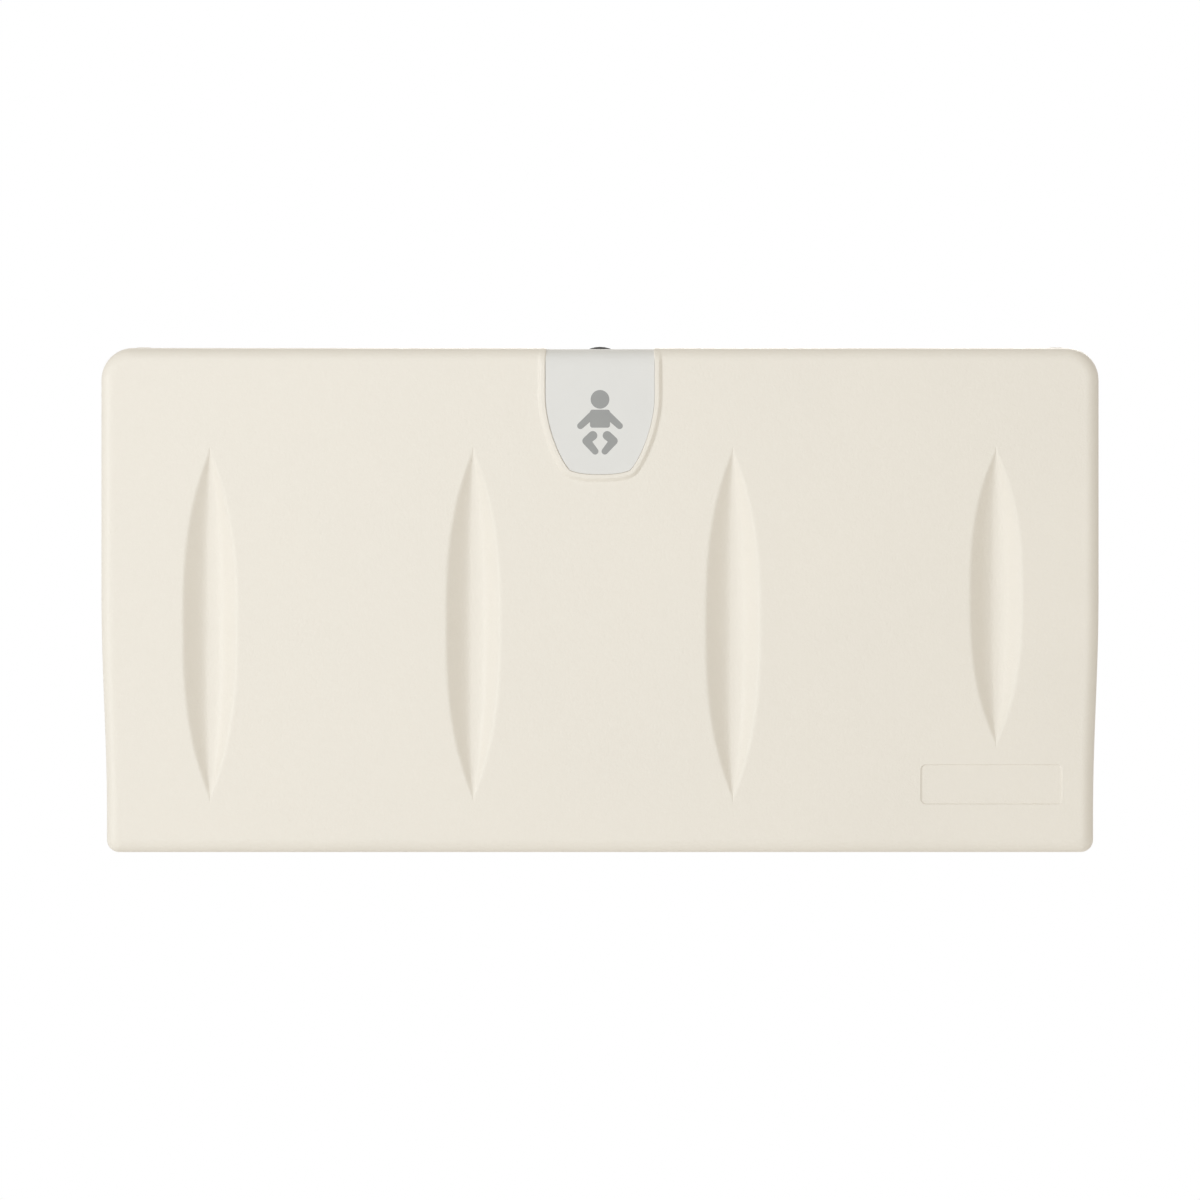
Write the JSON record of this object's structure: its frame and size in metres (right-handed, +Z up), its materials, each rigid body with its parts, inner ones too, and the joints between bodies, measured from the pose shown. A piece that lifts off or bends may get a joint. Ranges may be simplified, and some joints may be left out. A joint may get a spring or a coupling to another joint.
{
  "type": "fold-down baby changing station",
  "caption": "Wall-hung fold-down baby changing station in cream plastic, shut, with fluted bed shell, silver badge, steel hinge and concealed gas spring.",
  "frame": {"origin": "on the wall plane, behind the middle of the front panel", "axes": "+X to the right as seen from the room, +Y into the wall, +Z up; the bed is shut"},
  "size_m": [0.889, 0.1025, 0.4526],
  "materials": {
    "cream_plastic": "fine satin moulding texture",
    "trim_plastic": "satin",
    "badge_plastic": "silver-grey label",
    "black_plastic": "satin",
    "black_rubber": "matt",
    "webbing": "woven",
    "steel": "brushed"
  },
  "bodies": {
    "wall_unit": {"wall_housing": "cream_plastic", "top_bumper": "black_rubber", "hinge_leaf_wall": "steel", "hinge_pin": "steel", "pin_clip_left": "steel", "pin_clip_right": "steel", "gas_spring_bracket": "steel", "gas_spring_pin": "steel", "mounting_strap_left": "steel", "mounting_strap_right": "steel", "liner_box_left": "trim_plastic", "liner_box_right": "trim_plastic", "bag_hook_left": "trim_plastic", "bag_hook_right": "trim_plastic", "screw_cap_1": "trim_plastic", "screw_cap_2": "trim_plastic", "screw_cap_3": "trim_plastic", "screw_cap_4": "trim_plastic"},
    "bed": {"bed_shell": "cream_plastic", "bed_tray": "cream_plastic", "badge_plate": "badge_plastic", "hinge_leaf_bed": "steel", "lift_arm": "steel", "strap_anchor_upper": "black_plastic", "strap_anchor_lower": "black_plastic", "strap_upper": "webbing", "strap_lower": "webbing", "buckle_socket": "black_plastic"},
    "gas_cylinder": {"gas_cylinder": "black_plastic"},
    "gas_rod": {"gas_rod": "steel", "gas_rod_pin": "steel"},
    "liner_lid_left": {"liner_lid_left": "trim_plastic"},
    "liner_lid_right": {"liner_lid_right": "trim_plastic"},
    "buckle_tongue": {"buckle_tongue": "black_plastic"}
  },
  "joints": [
    {"name": "bed_fold", "type": "hinge", "parent": "wall_unit", "child": "bed", "pos_m": [0, -0.047, -0.20075], "axis": [1, 0, 0], "range_deg": [0, 90]},
    {"name": "gas_spring_swing", "type": "hinge", "parent": "wall_unit", "child": "gas_cylinder", "pos_m": [0.42, -0.02, 0.11], "axis": [1, 0, 0], "range_deg": [-2.93, 0]},
    {"name": "gas_rod_slide", "type": "slide", "parent": "gas_cylinder", "child": "gas_rod", "axis": [0, -0.0006, 1], "range_m": [0, 0.0396], "stiffness_N_per_m": 300, "springref_m": -0.5},
    {"name": "liner_lid_left", "type": "hinge", "parent": "wall_unit", "child": "liner_lid_left", "pos_m": [-0.232, -0.0104, -0.0478], "axis": [1, 0, 0], "range_deg": [-90, 0]},
    {"name": "liner_lid_right", "type": "hinge", "parent": "wall_unit", "child": "liner_lid_right", "pos_m": [0.232, -0.0104, -0.0478], "axis": [1, 0, 0], "range_deg": [-90, 0]},
    {"name": "buckle_release", "type": "slide", "parent": "bed", "child": "buckle_tongue", "axis": [0, 0, 1], "range_m": [0, 0.026], "deforming": ["strap_upper"]}
  ],
  "couplings": [
    {"joint": "gas_spring_swing", "follows": "bed_fold", "ratio": -0.032498},
    {"joint": "gas_rod_slide", "follows": "bed_fold", "m_per_rad": 0.025151}
  ]
}
